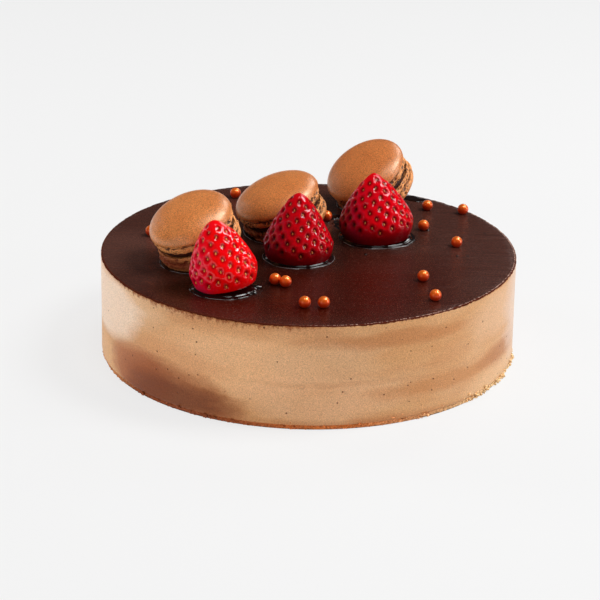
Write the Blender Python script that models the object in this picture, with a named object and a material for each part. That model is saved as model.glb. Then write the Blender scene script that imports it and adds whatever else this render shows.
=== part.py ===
# A round mousse cake: a thin biscuit base, milk chocolate mousse, a dark glaze on top, and on the
# glaze three leaning macarons, three hulled strawberries and thirteen sugar pearls.
# Metres, +Z up. The origin is on the floor, under the middle of the cake. -Y is the front.

from math import cos, exp, pi, radians, sin, sqrt

import bmesh
import bpy
from mathutils import Vector, noise

MM = 0.001
GAP = 0.3 * MM
SMOOTH_BELOW = radians(35)

# The cake
CAKE_RADIUS = 90 * MM
CAKE_HEIGHT = 45 * MM
CAKE_SEGMENTS = 96
CAP_RADIUS = 82 * MM
EDGE_ROUNDING = 0.3 * MM
SIDE_WAVE = 0.25 * MM
SIDE_FLARE = 0.4 * MM

BISCUIT_HEIGHT = 2.3 * MM
BISCUIT_SWELL = 0.6 * MM
BISCUIT_PROUD = 0.6 * MM
CRUMB_RELIEF = 0.45 * MM

# The glaze fills a shallow dish in the mousse, and runs out thin over the dish's rim
GLAZE_THICKNESS = 1.2 * MM
GLAZE_AT_RIM = 0.5 * MM
DISH_RADIUS = 86 * MM
DISH_SLOPE = 1 * MM
RIM_WAVE = 0.25 * MM
RIM_DIP = 0.4 * MM
RIM_DIP_HEADING = radians(62)
RIM_DIP_WIDTH = radians(16)

# A macaron: two domed shells with ruffled feet, and the filling between them
MACARON_SEGMENTS = 32
FILLING_HALF = 1.65 * MM
FILLING_REACH = 0.9
FILLING_ROUNDING = 0.8 * MM
FILLING_WAVE = 0.4 * MM
FOOT_HEIGHT = 2.4 * MM
FOOT_REACH = 0.95
FOOT_RUFFLE = 0.55 * MM
INNER_REACH = 0.84
LIP_REACH = 0.985
LIP_HEIGHT = 0.9 * MM
DOME_ROWS = 4
DOME_ROUNDNESS = 0.8
CROWN_REACH = 0.16
# x, y and z of the middle, heading and lean of the axis, radius, height of the dome
MACARONS = {
    "macaron_1": (-48.2 * MM, -20.0 * MM, 59.0 * MM, radians(-144), radians(24.4), 18.4 * MM, 8.2 * MM),
    "macaron_2": (-12.5 * MM, 19.6 * MM, 56.2 * MM, radians(-158), radians(22), 19.2 * MM, 7.5 * MM),
    "macaron_3": (27.6 * MM, 57.5 * MM, 58.0 * MM, radians(-145), radians(35), 19.1 * MM, 6.9 * MM),
}

# A strawberry stands on its hulled end, with a pit for each seed
BERRY_SEGMENTS = 22
BERRY_ROWS = 15
BERRY_SINK = 0.3 * MM
BERRY_WIDEST = 0.25
BERRY_BELLY = 0.53
BERRY_DEPTH = 0.9
BERRY_TIP = 0.975
ROW_CROWDING = 0.93
PIT_DEPTH = 0.55 * MM
# x, y, lean to the right, radius, height, bulge and bluntness of the cone
STRAWBERRIES = {
    "strawberry_1": (-33.7 * MM, -50.0 * MM, radians(-11), 14.1 * MM, 28.5 * MM, 1.23, 0.65),
    "strawberry_2": (-4.6 * MM, -12.3 * MM, radians(0), 15.0 * MM, 30.1 * MM, 1.0, 0.66),
    "strawberry_3": (29.9 * MM, 14.8 * MM, radians(-4), 16.3 * MM, 30.0 * MM, 1.29, 0.82),
}

# Glaze that has pooled round each strawberry: x and y of its middle, its radius and its height
POOLS = (
    (-33.6 * MM, -48.6 * MM, 14.6 * MM, 0.5 * MM),
    (-26.6 * MM, -50.5 * MM, 7.6 * MM, 2.6 * MM),
    (-4.2 * MM, -14.1 * MM, 14.8 * MM, 0.6 * MM),
    (28.0 * MM, 11.4 * MM, 15.8 * MM, 0.6 * MM),
)
POOL_ROOT = 0.4 * MM
POOL_EDGE = 0.94
POOL_CROWN = 0.75
POOL_SEGMENTS = 20

# The sugar pearls, as they lie on the glaze: x and y of each
PEARL_RADIUS = 2.5 * MM
PEARL_SINK = 0.35 * MM
PEARLS = (
    (-34.5 * MM, 66.5 * MM),
    (-69.5 * MM, 12.2 * MM),
    (7.8 * MM, 36.5 * MM),
    (-13.7 * MM, -44.4 * MM),
    (-9.3 * MM, -46.8 * MM),
    (-1.2 * MM, -69.7 * MM),
    (6.5 * MM, -69.5 * MM),
    (54.0 * MM, 53.5 * MM),
    (70.0 * MM, 49.0 * MM),
    (51.0 * MM, 26.0 * MM),
    (64.5 * MM, 5.0 * MM),
    (48.0 * MM, -37.5 * MM),
    (52.0 * MM, -59.5 * MM),
)

# A cutter is the outer shape of what it makes room for, grown by this much
SEAT_GROWTH = 0.5 * MM
SEAT_SEGMENTS = 28

GLAZE_FLOOR = CAKE_HEIGHT - GLAZE_THICKNESS
RIM_FLOOR = CAKE_HEIGHT - GLAZE_AT_RIM


# Making meshes and objects

def clear_scene():
    for old in list(bpy.data.objects):
        bpy.data.objects.remove(old, do_unlink=True)


def food_material(name, colour, roughness, coat=0.0, subsurface=0.0):
    material = bpy.data.materials.new(name)
    material.use_nodes = True
    shader = material.node_tree.nodes["Principled BSDF"]
    shader.inputs["Base Color"].default_value = (*colour, 1.0)
    shader.inputs["Roughness"].default_value = roughness
    shader.inputs["Metallic"].default_value = 0.0
    shader.inputs["Coat Weight"].default_value = coat
    shader.inputs["Subsurface Weight"].default_value = subsurface
    material.diffuse_color = (*colour, 1.0)
    return material


def turned_mesh(name, profile, segments, shape=None):
    """A closed solid turned from rows of (radius, height), lowest first; shape may move a point."""
    bm = bmesh.new()
    rings = []
    for row, (radius, height) in enumerate(profile):
        ring = []
        for step in range(segments):
            angle = 2 * pi * step / segments
            r, z = shape(row, step, angle, radius, height) if shape else (radius, height)
            ring.append(bm.verts.new((r * cos(angle), r * sin(angle), z)))
        rings.append(ring)
    for low, high in zip(rings, rings[1:]):
        for step in range(segments):
            after = (step + 1) % segments
            bm.faces.new((low[step], low[after], high[after], high[step]))
    bm.faces.new(reversed(rings[0]))
    bm.faces.new(rings[-1])
    sides = [face for face in bm.faces if len(face.verts) == 4]
    bmesh.ops.triangulate(bm, faces=sides, quad_method="FIXED")
    mesh = bpy.data.meshes.new(name)
    bm.to_mesh(mesh)
    bm.free()
    return mesh


def place(name, mesh, material=None, parent=None, location=(0, 0, 0), rotation=(0, 0, 0)):
    piece = bpy.data.objects.new(name, mesh)
    bpy.context.collection.objects.link(piece)
    piece.location = location
    piece.rotation_euler = rotation
    piece.parent = parent
    if material:
        mesh.materials.append(material)
        mesh.shade_smooth()
        mesh.set_sharp_from_angle(angle=SMOOTH_BELOW)
    return piece


def hide_cutter(piece):
    piece.hide_render = True
    piece.display_type = "WIRE"
    return piece


def ripple(angle, height, scale, seed):
    """Smooth noise round the cake or a macaron, from about -1 to 1."""
    return noise.noise(Vector((scale * cos(angle), scale * sin(angle), seed + height)))


# The biscuit base: a flat underside, a crumbly edge, and a top that the mousse's underside follows

def biscuit_edge_height(angle):
    return BISCUIT_HEIGHT + BISCUIT_SWELL * ripple(angle, 0, 3.0, 4.0)


def make_biscuit():
    side = CAKE_RADIUS + BISCUIT_PROUD
    profile = (
        (side - 2 * EDGE_ROUNDING, 0),
        (side, 0.25 * BISCUIT_HEIGHT),
        (side, 0.6 * BISCUIT_HEIGHT),
        (side - 2 * EDGE_ROUNDING, BISCUIT_HEIGHT),
        (CAP_RADIUS, BISCUIT_HEIGHT),
    )
    crumbly_rows = (1, 2, 3)
    edge_row = 3

    def shape(row, step, angle, radius, height):
        if row in crumbly_rows:
            radius += CRUMB_RELIEF * ripple(angle, 2.3 * row, 14.0, 1.0)
        if row == edge_row:
            height = biscuit_edge_height(angle)
        return radius, height

    mesh = turned_mesh("base_biscuit", profile, CAKE_SEGMENTS, shape)
    return place("base_biscuit", mesh, food_material("dark biscuit", (0.13, 0.055, 0.022), 0.85))


# The mousse: one solid from the biscuit to the glaze, with a seat for each macaron

def rim_lift(angle):
    """How far the cake's upper edge rises or dips, the same for the mousse and the glaze."""
    dip = exp(-((angle - RIM_DIP_HEADING) / RIM_DIP_WIDTH) ** 2)
    return RIM_WAVE * (ripple(angle, 0, 3.5, 6.0) - 0.5) - RIM_DIP * dip


def make_mousse():
    floor = BISCUIT_HEIGHT + GAP
    profile = (
        (CAP_RADIUS, floor),
        (CAKE_RADIUS - EDGE_ROUNDING, floor),
        (CAKE_RADIUS + SIDE_FLARE, floor + 2 * MM),
        (CAKE_RADIUS + SIDE_FLARE / 2, 0.36 * CAKE_HEIGHT),
        (CAKE_RADIUS, 0.68 * CAKE_HEIGHT),
        (CAKE_RADIUS, RIM_FLOOR - GAP - EDGE_ROUNDING),
        (CAKE_RADIUS - EDGE_ROUNDING, RIM_FLOOR - GAP),
        (DISH_RADIUS + DISH_SLOPE, RIM_FLOOR - GAP),
        (DISH_RADIUS, GLAZE_FLOOR - GAP),
    )
    edge_row = 1
    side_rows = (2, 3, 4)
    rim_rows = (5, 6)

    def shape(row, step, angle, radius, height):
        if row == edge_row:
            height = biscuit_edge_height(angle) + GAP
        if row in side_rows:
            radius += SIDE_WAVE * ripple(angle, row, 2.2, 9.0)
        if row in rim_rows:
            height += rim_lift(angle)
        return radius, height

    mesh = turned_mesh("mousse", profile, CAKE_SEGMENTS, shape)
    colour = (0.54, 0.31, 0.16)
    return place("mousse", mesh, food_material("milk chocolate mousse", colour, 0.6, subsurface=0.05))


# The glaze: a thin disc with a slightly wavy rim, its pools and its pearls fused to it

def make_glaze_disc():
    profile = (
        (DISH_RADIUS - GAP, GLAZE_FLOOR),
        (DISH_RADIUS + DISH_SLOPE - GAP, RIM_FLOOR),
        (CAKE_RADIUS - EDGE_ROUNDING, RIM_FLOOR),
        (CAKE_RADIUS, RIM_FLOOR + 0.4 * GLAZE_AT_RIM),
        (CAKE_RADIUS - EDGE_ROUNDING, CAKE_HEIGHT),
        (DISH_RADIUS, CAKE_HEIGHT),
    )
    rim_rows = (2, 3, 4)

    def shape(row, step, angle, radius, height):
        if row in rim_rows:
            height += rim_lift(angle)
        return radius, height

    mesh = turned_mesh("glaze", profile, CAKE_SEGMENTS, shape)
    return place("glaze", mesh, food_material("dark chocolate glaze", (0.035, 0.012, 0.009), 0.3, coat=0.4))


def make_pool(x, y, radius, height):
    """A low dome of glaze, with a short root inside the disc below it."""
    profile = (
        (radius * POOL_EDGE, -POOL_ROOT),
        (radius * POOL_EDGE, height / 2),
        (radius * POOL_CROWN, height),
    )
    mesh = turned_mesh("pool", profile, POOL_SEGMENTS)
    return place("pool", mesh, location=(x, y, CAKE_HEIGHT))


def make_pearl(x, y):
    bm = bmesh.new()
    bmesh.ops.create_icosphere(bm, subdivisions=2, radius=PEARL_RADIUS)
    mesh = bpy.data.meshes.new("pearl")
    bm.to_mesh(mesh)
    bm.free()
    return place("pearl", mesh, location=(x, y, CAKE_HEIGHT + PEARL_RADIUS - PEARL_SINK))


def fuse(piece, additions):
    """One Boolean union of the piece and the additions, which are then removed."""
    group = bpy.data.collections.new("fused bits")
    for addition in additions:
        group.objects.link(addition)
    union = piece.modifiers.new("fuse", "BOOLEAN")
    union.operation = "UNION"
    union.solver = "EXACT"
    union.operand_type = "COLLECTION"
    union.collection = group
    bpy.context.view_layer.objects.active = piece
    bpy.ops.object.modifier_apply(modifier=union.name)
    for addition in additions:
        bpy.data.objects.remove(addition, do_unlink=True)
    bpy.data.collections.remove(group)


def make_glaze():
    glaze = make_glaze_disc()
    bits = [make_pool(*pool) for pool in POOLS]
    bits += [make_pearl(*pearl) for pearl in PEARLS]
    fuse(glaze, bits)
    glaze.data.shade_smooth()
    glaze.data.set_sharp_from_angle(angle=SMOOTH_BELOW)
    return glaze


# The macarons

def shell_profile(radius, dome):
    """The top shell in section, from the inner face up over the foot and the lip to the dome."""
    inner = FILLING_HALF + GAP
    rows = [
        (radius * INNER_REACH, inner),
        (radius * FOOT_REACH, inner + 0.15 * FOOT_HEIGHT),
        (radius * FOOT_REACH, inner + 0.75 * FOOT_HEIGHT),
        (radius * LIP_REACH, inner + FOOT_HEIGHT + 0.3 * LIP_HEIGHT),
    ]
    lip = inner + FOOT_HEIGHT + LIP_HEIGHT
    for k in range(DOME_ROWS):
        rise = k / DOME_ROWS * pi / 2
        rows.append((radius * cos(rise) ** DOME_ROUNDNESS, lip + dome * sin(rise)))
    rows.append((radius * CROWN_REACH, lip + dome))
    return rows


def macaron_outline(radius, dome, growth):
    """The whole macaron in section, straight where its feet and filling are, and grown."""
    domed = [(r, z) for r, z in shell_profile(radius, dome) if z > FILLING_HALF + GAP + FOOT_HEIGHT]
    widest = (radius + growth, domed[0][1])
    upper = [widest] + [(r + growth, z + growth) for r, z in domed[1:]]
    return [(r, -z) for r, z in reversed(upper)] + upper


def make_shell(name, radius, dome, seed, material, parent, upside_down):
    foot_rows = (1, 2)

    def shape(row, step, angle, r, z):
        if row in foot_rows:
            r += FOOT_RUFFLE * ripple(angle, 1.7 * row, 9.0, seed)
        return r, z

    mesh = turned_mesh(name, shell_profile(radius, dome), MACARON_SEGMENTS, shape)
    turn = (pi, 0, 0) if upside_down else (0, 0, 0)
    return place(name, mesh, material, parent, rotation=turn)


def make_filling(name, radius, seed, material, parent):
    reach = radius * FILLING_REACH
    profile = (
        (reach - FILLING_ROUNDING, -FILLING_HALF),
        (reach, -0.4 * FILLING_HALF),
        (reach, 0.4 * FILLING_HALF),
        (reach - FILLING_ROUNDING, FILLING_HALF),
    )

    def shape(row, step, angle, r, z):
        return r + FILLING_WAVE * ripple(angle, 0, 3.0, seed), z

    mesh = turned_mesh(name, profile, MACARON_SEGMENTS, shape)
    return place(name, mesh, material, parent)


def make_macaron(name, x, y, z, heading, lean, radius, dome, seed):
    stand = bpy.data.objects.new(name + "_stand", None)
    bpy.context.collection.objects.link(stand)
    stand.location = (x, y, z)
    stand.rotation_euler = (0, lean, heading)
    shell_colour = (0.47, 0.20, 0.075)
    shells = food_material(name + " shell", shell_colour, 0.5)
    make_shell(name + "_top_shell", radius, dome, seed, shells, stand, False)
    make_shell(name + "_bottom_shell", radius, dome, seed + 5, shells.copy(), stand, True)
    ganache = food_material(name + " filling", (0.05, 0.018, 0.012), 0.4)
    make_filling(name + "_filling", radius, seed + 9, ganache, stand)
    seat = turned_mesh(name + "_seat", macaron_outline(radius, dome, SEAT_GROWTH), SEAT_SEGMENTS)
    return hide_cutter(place(name + "_seat", seat, parent=stand))


# The strawberries

def berry_reach(share, bulge, bluntness):
    """How wide the berry is, as a share of its widest, at this share of its height."""
    if share < BERRY_WIDEST:
        return sqrt(1 - ((BERRY_WIDEST - share) / BERRY_BELLY) ** 2)
    climb = (share - BERRY_WIDEST) / (1 - BERRY_WIDEST)
    return (1 - climb ** bulge) ** bluntness


def berry_profile(radius, height, bulge, bluntness, growth=0.0):
    rows = []
    for k in range(BERRY_ROWS + 1):
        share = BERRY_TIP * (k / BERRY_ROWS) ** ROW_CROWDING
        reach = radius * berry_reach(share, bulge, bluntness)
        shift = growth if share > BERRY_WIDEST else -growth
        rows.append((reach + growth, share * height + shift))
    return rows


def flatten_depth(mesh):
    """The berries are a little shallower from front to back than they are wide."""
    for vertex in mesh.vertices:
        vertex.co.y *= BERRY_DEPTH


def make_strawberry(name, x, y, lean, radius, height, bulge, bluntness):
    def shape(row, step, angle, r, z):
        pit_row = row % 2 == 1
        pit_step = (step + row // 2) % 2 == 0
        if pit_row and pit_step and row < BERRY_ROWS:
            r -= PIT_DEPTH * min(1.0, 2 * r / radius)
        return r, z

    base_radius = radius * berry_reach(0, bulge, bluntness)
    seat_height = CAKE_HEIGHT - BERRY_SINK + base_radius * abs(sin(lean))
    spot = {"location": (x, y, seat_height), "rotation": (0, lean, 0)}
    mesh = turned_mesh(name, berry_profile(radius, height, bulge, bluntness), BERRY_SEGMENTS, shape)
    flatten_depth(mesh)
    place(name, mesh, food_material(name + " skin", (0.6, 0.008, 0.015), 0.3, subsurface=0.1), **spot)
    grown = berry_profile(radius, height, bulge, bluntness, SEAT_GROWTH)
    seat = turned_mesh(name + "_seat", grown, SEAT_SEGMENTS)
    flatten_depth(seat)
    return hide_cutter(place(name + "_seat", seat, **spot))


# Putting the cake together

def cut_seats(piece, cutters):
    for cutter in cutters:
        cut = piece.modifiers.new(cutter.name, "BOOLEAN")
        cut.operation = "DIFFERENCE"
        cut.solver = "EXACT"
        cut.object = cutter


def main():
    clear_scene()
    make_biscuit()
    mousse = make_mousse()
    glaze = make_glaze()
    macaron_seats = []
    for number, (name, sizes) in enumerate(MACARONS.items()):
        macaron_seats.append(make_macaron(name, *sizes, seed=20 + 3 * number))
    berry_seats = [make_strawberry(name, *sizes) for name, sizes in STRAWBERRIES.items()]
    cut_seats(mousse, macaron_seats)
    cut_seats(glaze, macaron_seats + berry_seats)


main()
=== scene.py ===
# %% [markdown]
# A mousse cake, dressed in Blender
#
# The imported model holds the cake's solids: biscuit, mousse, glaze, macarons and strawberries. This
# script gives them their surfaces. Each step has a few words on what the thing is on the real cake,
# how it could be made, and why it is made this way here.

# %% The frame and the tools
from math import cos, exp, pi, radians, sin, sqrt, tau

import bpy
import numpy as np
from mathutils import Matrix, Vector, kdtree, noise


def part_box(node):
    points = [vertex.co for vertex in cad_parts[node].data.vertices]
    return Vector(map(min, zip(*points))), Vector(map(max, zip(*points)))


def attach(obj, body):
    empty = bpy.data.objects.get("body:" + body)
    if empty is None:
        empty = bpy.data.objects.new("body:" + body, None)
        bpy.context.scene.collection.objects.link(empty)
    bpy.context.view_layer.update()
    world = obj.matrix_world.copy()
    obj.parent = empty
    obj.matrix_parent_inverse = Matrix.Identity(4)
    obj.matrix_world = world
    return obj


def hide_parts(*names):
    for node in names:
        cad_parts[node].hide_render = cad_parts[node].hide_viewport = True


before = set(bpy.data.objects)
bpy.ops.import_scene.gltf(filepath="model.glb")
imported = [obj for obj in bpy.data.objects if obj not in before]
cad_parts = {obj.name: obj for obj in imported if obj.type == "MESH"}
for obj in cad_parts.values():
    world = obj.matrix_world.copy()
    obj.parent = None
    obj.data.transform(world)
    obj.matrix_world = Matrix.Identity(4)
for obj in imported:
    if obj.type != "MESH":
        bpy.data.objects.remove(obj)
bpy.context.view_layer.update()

MM = 0.001
WHITE = (1.0, 1.0, 1.0, 1.0)


def put_in_scene(thing):
    """Links a new object, because Blender shows only what is in a collection."""
    bpy.context.scene.collection.objects.link(thing)


print("nodes:", ", ".join(sorted(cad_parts)))

# %% [markdown]
# Measuring the frame
#
# The dressed pieces have to sit exactly where the solids sit. Their places could be typed in again,
# but numbers that are kept twice drift apart. So they are read from the solids: a box for the round
# cake, and for a leaning macaron the line between the middles of its two shells.

# %% Reading places from the solids
def node_points(node):
    """The corners of a solid, each one once."""
    corners = np.array([v.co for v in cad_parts[node].data.vertices])
    return np.unique(corners.round(7), axis=0)


glaze_low, glaze_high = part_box("glaze")
biscuit_low, biscuit_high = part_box("base_biscuit")

CAKE_RADIUS = (glaze_high.x - glaze_low.x) / 2
CAKE_TOP = 45 * MM
BISCUIT_TOP = 2.3 * MM
FOOT_RADIUS = (biscuit_high.x - biscuit_low.x) / 2
print("cake radius", round(CAKE_RADIUS / MM, 2), "mm, foot radius", round(FOOT_RADIUS / MM, 2), "mm")

# %% [markdown]
# The camera
#
# The picture was taken from 21 degrees above the table, from far enough that the cake hardly tapers.
# A long lens from 90 cm gives the same calm perspective. The camera also leans by one degree, so the
# right side of the cake hangs a little lower. Its direction is built from three axes, which is
# easier to read than three Euler angles.

# %% The camera
CAMERA_ELEVATION = radians(21.41)
CAMERA_ROLL = radians(1.05)
CAMERA_DISTANCE = 0.9
CAMERA_LENS = 123.1
LOOK_RIGHT = -3.46 * MM
LOOK_UP = -1.8 * MM


def make_camera():
    back = Vector((0, -cos(CAMERA_ELEVATION), sin(CAMERA_ELEVATION)))
    flat_right = Vector((1, 0, 0))
    flat_up = back.cross(flat_right)
    right = flat_right * cos(CAMERA_ROLL) + flat_up * sin(CAMERA_ROLL)
    up = flat_up * cos(CAMERA_ROLL) - flat_right * sin(CAMERA_ROLL)
    middle = Vector((0, 0, CAKE_TOP / 2))
    spot = middle + back * CAMERA_DISTANCE
    aim = middle + right * LOOK_RIGHT + up * LOOK_UP
    back = (spot - aim).normalized()
    right = (right - back * right.dot(back)).normalized()
    up = back.cross(right)
    data = bpy.data.cameras.new("photo camera")
    data.lens = CAMERA_LENS
    data.clip_start, data.clip_end = 0.05, 20
    camera = bpy.data.objects.new("photo camera", data)
    camera.matrix_world = Matrix.Translation(spot) @ Matrix((right, up, back)).transposed().to_4x4()
    put_in_scene(camera)
    bpy.context.scene.camera = camera
    return camera


camera = make_camera()
print("camera at", tuple(round(c, 3) for c in camera.matrix_world.translation))

# %% [markdown]
# Shader maths that reads like maths
#
# A material is a graph of nodes. Wiring each sum by hand hides what is meant, so one small class
# wraps an output socket and answers to +, -, * and the rest by adding Math nodes. Every other node
# comes from one method, make(), which takes the node's type, its settings and its sockets.

# %% The class that wraps a socket
class Value:
    """An output socket. Arithmetic on it adds Math nodes to its material."""

    def __init__(self, tree, socket):
        self.tree = tree
        self.socket = socket

    def math(self, operation, *terms):
        node = self.tree.nodes.new("ShaderNodeMath")
        node.operation = operation
        for place, term in enumerate(terms):
            plug(self.tree, node.inputs[place], term)
        return Value(self.tree, node.outputs[0])

    def __add__(self, other):
        return self.math("ADD", self, other)

    __radd__ = __add__

    def __mul__(self, other):
        return self.math("MULTIPLY", self, other)

    __rmul__ = __mul__

    def __sub__(self, other):
        return self.math("SUBTRACT", self, other)

    def __rsub__(self, other):
        return self.math("SUBTRACT", other, self)

    def __truediv__(self, other):
        return self.math("DIVIDE", self, other)

    def above(self, level, softness):
        """0 below the level, 1 above it, with a soft step between."""
        return ((self - level) / softness + 0.5).clamped()

    def clamped(self):
        return self.math("MINIMUM", self.math("MAXIMUM", self, 0.0), 1.0)


def plug(tree, socket, what):
    """Puts a number, a colour or a Value into an input socket."""
    if isinstance(what, Value):
        tree.links.new(what.socket, socket)
    elif what is not None:
        socket.default_value = what


# %% The class that holds a finish
def srgb(red, green, blue):
    """A colour as a picture shows it, from 0 to 255, made linear for the shader."""
    share = [c / 255 for c in (red, green, blue)]
    return tuple(c / 12.92 if c <= 0.04045 else ((c + 0.055) / 1.055) ** 2.4 for c in share) + (1.0,)


class Finish:
    """A material in the making: a Principled shader, and the nodes that feed it."""

    def __init__(self, name, **constants):
        self.material = bpy.data.materials.new(name)
        self.material.use_nodes = True
        self.tree = self.material.node_tree
        self.shader = self.tree.nodes["Principled BSDF"]
        for socket, value in constants.items():
            self.shader.inputs[socket.replace("_", " ")].default_value = value

    def make(self, kind, settings=None, sockets=None, output=0):
        node = self.tree.nodes.new(kind)
        for key, value in (settings or {}).items():
            setattr(node, key, value)
        for key, value in (sockets or {}).items():
            plug(self.tree, node.inputs[key], value)
        return Value(self.tree, node.outputs[output])

    def place(self):
        """Where the point lies on the cake, in millimetres."""
        where = self.make("ShaderNodeTexCoord", output="Object")
        return self.make("ShaderNodeVectorMath", {"operation": "SCALE"}, {0: where, "Scale": 1000.0})

    def parts(self, vector):
        """The three numbers of a vector."""
        return [self.make("ShaderNodeSeparateXYZ", None, {0: vector}, k) for k in range(3)]

    def heading(self, x, y):
        """Degrees round the cake: 0 at the front, 90 at the right."""
        return x.math("ARCTAN2", x, 0.0 - y) * (180 / pi)

    def stretched(self, vector, x, y, z):
        """Scales each number of a vector; a noise is drawn out where the factor is small."""
        return self.make("ShaderNodeVectorMath", {"operation": "MULTIPLY"}, {0: vector, 1: (x, y, z)})

    def noise(self, vector, size, detail=2.0, roughness=0.5):
        """Soft noise from 0 to 1 whose blotches are about this many millimetres across."""
        sockets = {"Vector": vector, "Scale": 1.0 / size, "Detail": detail, "Roughness": roughness}
        return self.make("ShaderNodeTexNoise", None, sockets)

    def cells(self, vector, size):
        """The distance to the nearest of many scattered points, as a share of their spacing."""
        return self.make("ShaderNodeTexVoronoi", None, {"Vector": vector, "Scale": 1.0 / size})

    def mix(self, share, first, second):
        """Blends two colours."""
        settings = {"data_type": "RGBA"}
        return self.make("ShaderNodeMix", settings, {0: share, 6: first, 7: second}, 2)

    def lit(self, colour, brightness):
        """The same colour, brighter or darker."""
        return self.make("ShaderNodeVectorMath", {"operation": "SCALE"}, {0: colour, "Scale": brightness})

    def stored(self, name):
        """A number that the mesh keeps at each of its points."""
        return self.make("ShaderNodeAttribute", {"attribute_name": name}, None, "Fac")

    def feed(self, socket, value):
        plug(self.tree, self.shader.inputs[socket], value)

    def bump(self, height, depth, after=None):
        """Turns a height from 0 to 1 into relief of this many millimetres."""
        sockets = {"Strength": 1.0, "Distance": depth * MM, "Height": height, "Normal": after}
        return self.make("ShaderNodeBump", None, sockets)


print("shader helpers are ready")

# %% [markdown]
# Meshes from rings
#
# Most of this cake is turned: a drum, a disc, domes and cones. Blender can spin a profile, but then
# every row keeps the same circle. Here a piece is an array of rings, so that numpy can push single
# points in and out for crumbs, ruffles and pits before the faces are made.

# %% From rings to a closed mesh
def ring_angles(columns):
    return np.arange(columns) * tau / columns


def turn(profile, columns):
    """Rings of points from rows of (radius, height), as an array of rows, columns and x y z."""
    profile = np.array(profile, float)
    angles = ring_angles(columns)
    x = profile[:, :1] * np.cos(angles)
    y = profile[:, :1] * np.sin(angles)
    z = np.repeat(profile[:, 1:2], columns, axis=1)
    return np.stack([x, y, z], axis=2)


def faces_of_rings(rows, columns, first=0):
    """Quads between the rings, and fans that close both ends on two extra points."""
    index = first + np.arange(rows * columns).reshape(rows, columns)
    after = np.roll(index, -1, axis=1)
    quads = np.stack([index[:-1], after[:-1], after[1:], index[1:]], axis=2).reshape(-1, 4)
    low, high = first + rows * columns, first + rows * columns + 1
    fans = [(low, b, a) for a, b in zip(index[0], after[0])]
    fans += [(high, a, b) for a, b in zip(index[-1], after[-1])]
    return [tuple(map(int, quad)) for quad in quads] + [tuple(map(int, fan)) for fan in fans]


def points_of_rings(rings):
    return np.concatenate([rings.reshape(-1, 3), [rings[0].mean(0)], [rings[-1].mean(0)]])


def mesh_from(name, points, faces, stored=None):
    mesh = bpy.data.meshes.new(name)
    mesh.from_pydata(points.tolist(), [], faces)
    for key, values in (stored or {}).items():
        layer = mesh.attributes.new(key, "FLOAT", "POINT")
        layer.data.foreach_set("value", np.asarray(values, np.float32))
    mesh.shade_smooth()
    mesh.update()
    return mesh


def joined_mesh(name, families, **stored):
    """One mesh from many ring arrays, each closed on its own.

    What it stores comes as one item for each array: a number, or an array of a number per point.
    """
    points, faces, total = [], [], 0
    kept = {key: [] for key in stored}
    for place, rings in enumerate(families):
        rows, columns = rings.shape[:2]
        points.append(points_of_rings(rings))
        faces += faces_of_rings(rows, columns, total)
        for key, values in stored.items():
            grid = np.broadcast_to(values[place], (rows, columns))
            kept[key] += [grid.ravel(), [grid[0].mean()], [grid[-1].mean()]]
        total += rows * columns + 2
    kept = {key: np.concatenate(values) for key, values in kept.items()}
    return mesh_from(name, np.concatenate(points), faces, kept)


def ring_mesh(name, rings, **stored):
    """A closed mesh from one array of rings; it stores numbers, or arrays of one per point."""
    return joined_mesh(name, [rings], **{key: [values] for key, values in stored.items()})


def ball(rows, columns):
    """Rings of a ball of radius 1."""
    return turn([(sin(a), -cos(a)) for a in np.linspace(0, pi, rows + 2)[1:-1]], columns)


# %% Noise on points
def ripples(points, size, seed=0.0, octaves=1):
    """Smooth noise from about -1 to 1 at each point, with waves about this long."""
    offset = Vector((seed, 1.7 * seed, -seed))
    flat = np.asarray(points).reshape(-1, 3) / size
    total = np.zeros(len(flat))
    for octave in range(octaves):
        step = 2.0 ** octave
        total += [noise.noise(Vector(p) * step + offset) / step for p in flat.tolist()]
    return total.reshape(np.asarray(points).shape[:-1])


def round_noise(angles, size, seed):
    """Smooth noise that closes on itself: one value for each direction round a ring."""
    return np.array([noise.noise(Vector((size * cos(a), size * sin(a), seed))) for a in angles])


def dome_step(values, low, high):
    """0 up to low, 1 from high on, and smooth between."""
    share = np.clip((values - low) / (high - low), 0, 1)
    return share * share * (3 - 2 * share)


def hump(values, middle, width):
    """1 at the middle, and smoothly down to 0 on both sides."""
    return np.exp(-((values - middle) / width) ** 2)


# %% Adding a piece to the cake
def add_piece(mesh, finish, slot, *nodes):
    """Makes a piece of a mesh, lets it ride on the cake, and hides the solids it stands for."""
    piece = bpy.data.objects.new(mesh.name, mesh)
    put_in_scene(piece)
    mesh.materials.append(finish.material)
    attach(piece, "root")
    if nodes:
        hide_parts(*nodes)
    triangles = sum(len(face.vertices) - 2 for face in mesh.polygons)
    print(f"{mesh.name}: {triangles} triangles")


# %% [markdown]
# The floor and the light
#
# A studio table for food is pale and plain, and the light comes from soft boxes. The key box stands
# high on the right and draws the satin highlights, with a low strip beside it for the wet berries.
# The boxes above and behind give the far edges their sheen. Three of the boxes only fill the shadows:
# wet surfaces don't mirror them, because a large box in front would lay a white veil over the glaze.
# The room stays dim for the same reason: the glaze is a dark mirror seen at a low angle.

# %% The floor
FLOOR_SIZE = 8.0
FLOOR_DROP = 0.05 * MM
FLOOR_GREY = srgb(104, 104, 104)
FLOOR_GLOW = 0.75


def make_floor():
    finish = Finish("plain floor", Base_Color=FLOOR_GREY, Roughness=0.9, Specular_IOR_Level=0.1,
                    Emission_Color=WHITE, Emission_Strength=FLOOR_GLOW)
    half = FLOOR_SIZE / 2
    corners = np.array([(-half, -half, 0), (half, -half, 0), (half, half, 0), (-half, half, 0)], float)
    mesh = mesh_from("floor", corners, [(0, 1, 2, 3)])
    mesh.materials.append(finish.material)
    floor = bpy.data.objects.new("floor", mesh)
    floor.location.z = -FLOOR_DROP
    put_in_scene(floor)


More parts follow.
